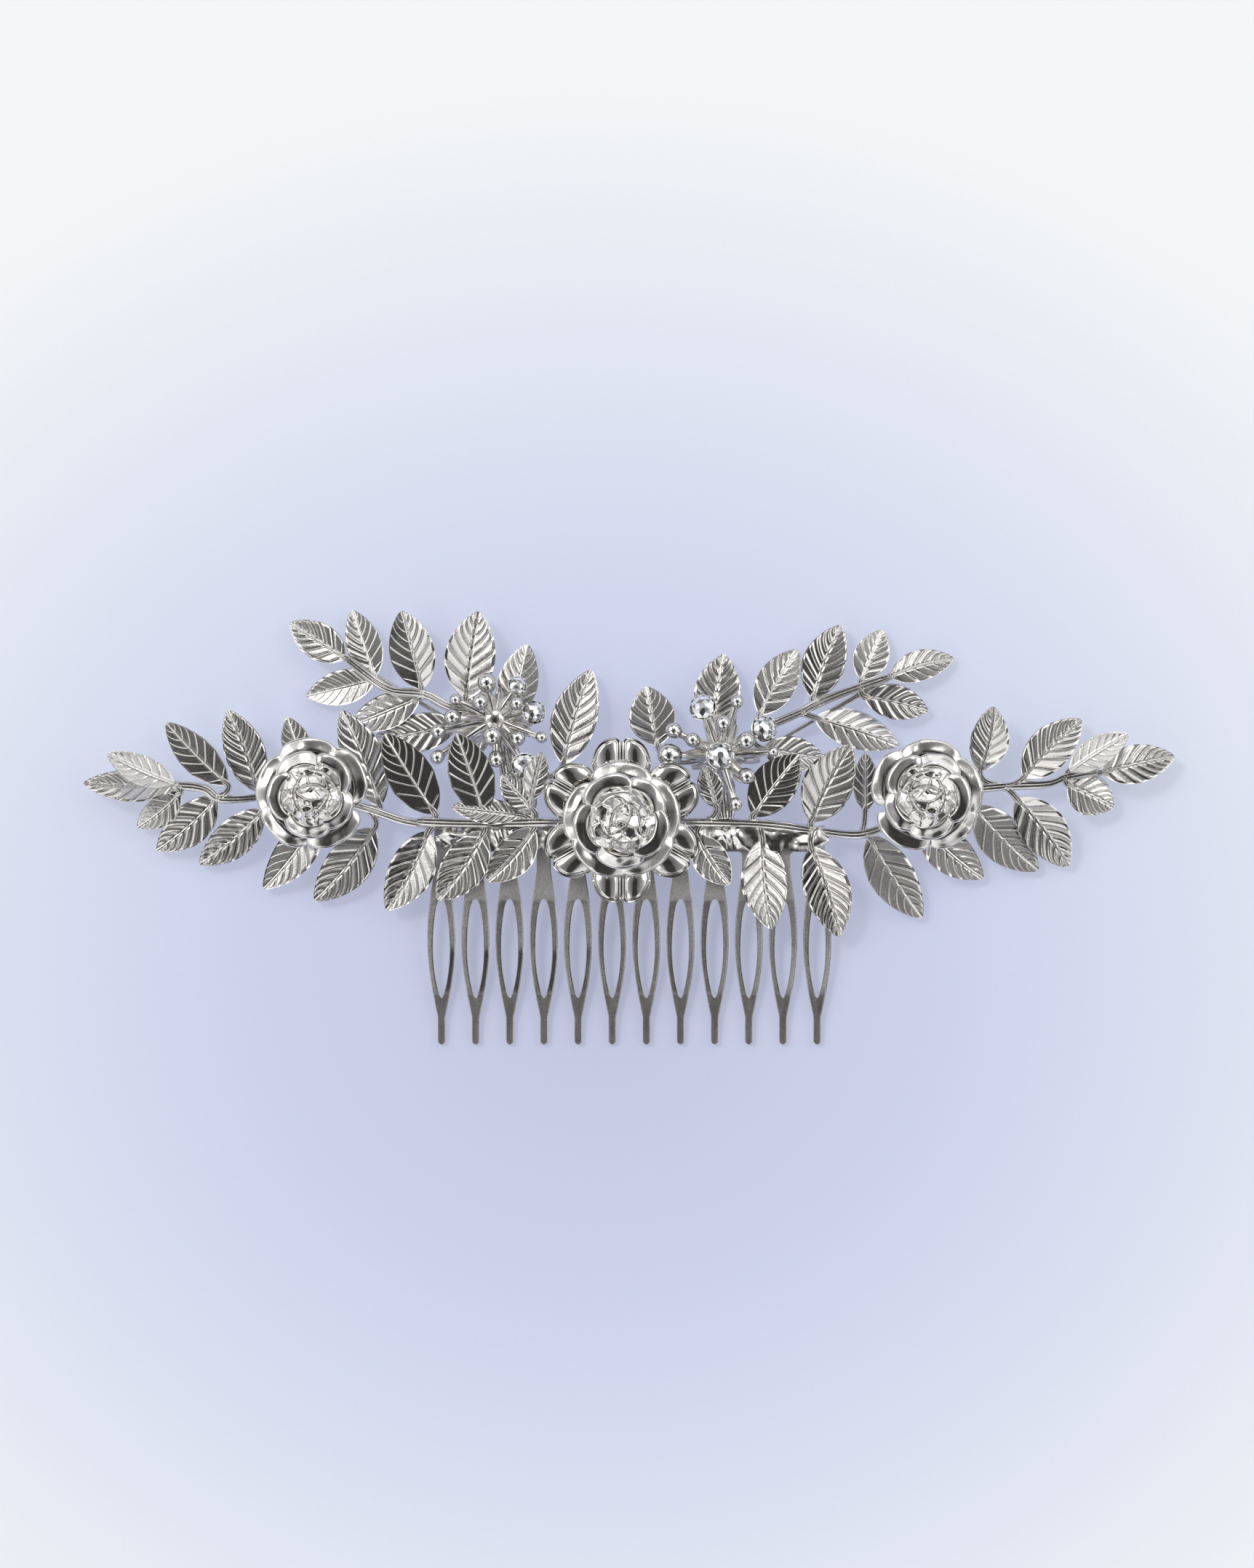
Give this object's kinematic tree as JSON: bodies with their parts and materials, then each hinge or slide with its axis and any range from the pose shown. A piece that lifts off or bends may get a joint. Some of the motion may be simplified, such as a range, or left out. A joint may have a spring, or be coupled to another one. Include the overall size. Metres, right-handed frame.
{
  "type": "decorative hair comb",
  "caption": "Side hair comb: a stamped comb plate with slotted tines, dressed with silver leaf sprays, a petalled flower, layered roses and clusters of beads and crystals.",
  "frame": {"origin": "centre of the bounding box in X and Y, at the level of the surface the comb lies on", "axes": "+X along the ornament's length, to the right as worn facing the viewer; -Y the way the tines point; +Z out of the ornament's front"},
  "size_m": [0.1388, 0.0554, 0.0128],
  "materials": {
    "comb_metal": "fine-grained grey plating, satin",
    "leaf_silver": "bright silver plating over embossed leaf metal",
    "flower_silver": "bright silver plating",
    "rose_silver": "bright silver plating, slightly crumpled petals",
    "bead_silver": "mirror-bright ball",
    "clear_crystal": "clear, cut facets",
    "fitting_silver": "bright silver plating"
  },
  "bodies": {
    "root": {"comb_plate": "comb_metal", "left_end_spray": "leaf_silver", "right_end_spray": "leaf_silver", "upper_left_spray": "leaf_silver", "upper_right_spray": "leaf_silver", "lower_left_spray": "leaf_silver", "lower_right_spray": "leaf_silver", "centre_flower": "flower_silver", "centre_rose_outer_petals": "rose_silver", "centre_rose_inner_petals": "rose_silver", "centre_rose_bud": "rose_silver", "centre_rose_rivet": "fitting_silver", "left_rose_outer_petals": "rose_silver", "left_rose_inner_petals": "rose_silver", "left_rose_bud": "rose_silver", "left_rose_rivet": "fitting_silver", "right_rose_outer_petals": "rose_silver", "right_rose_inner_petals": "rose_silver", "right_rose_bud": "rose_silver", "right_rose_rivet": "fitting_silver", "left_cluster_arms": "fitting_silver", "right_cluster_arms": "fitting_silver", "left_bead_1": "bead_silver", "left_bead_2": "bead_silver", "left_bead_3": "bead_silver", "left_bead_4": "bead_silver", "left_bead_5": "bead_silver", "left_bead_6": "bead_silver", "left_bead_7": "bead_silver", "left_bead_8": "bead_silver", "left_bead_9": "bead_silver", "left_bead_10": "bead_silver", "left_bead_11": "bead_silver", "left_crystal_1": "clear_crystal", "left_crystal_2": "clear_crystal", "left_crystal_3": "clear_crystal", "right_bead_1": "bead_silver", "right_bead_2": "bead_silver", "right_bead_3": "bead_silver", "right_bead_4": "bead_silver", "right_bead_5": "bead_silver", "right_bead_6": "bead_silver", "right_bead_7": "bead_silver", "right_bead_8": "bead_silver", "right_bead_9": "bead_silver", "right_crystal_1": "clear_crystal", "right_crystal_2": "clear_crystal", "right_hub_crystal": "clear_crystal"}
  },
  "joints": []
}
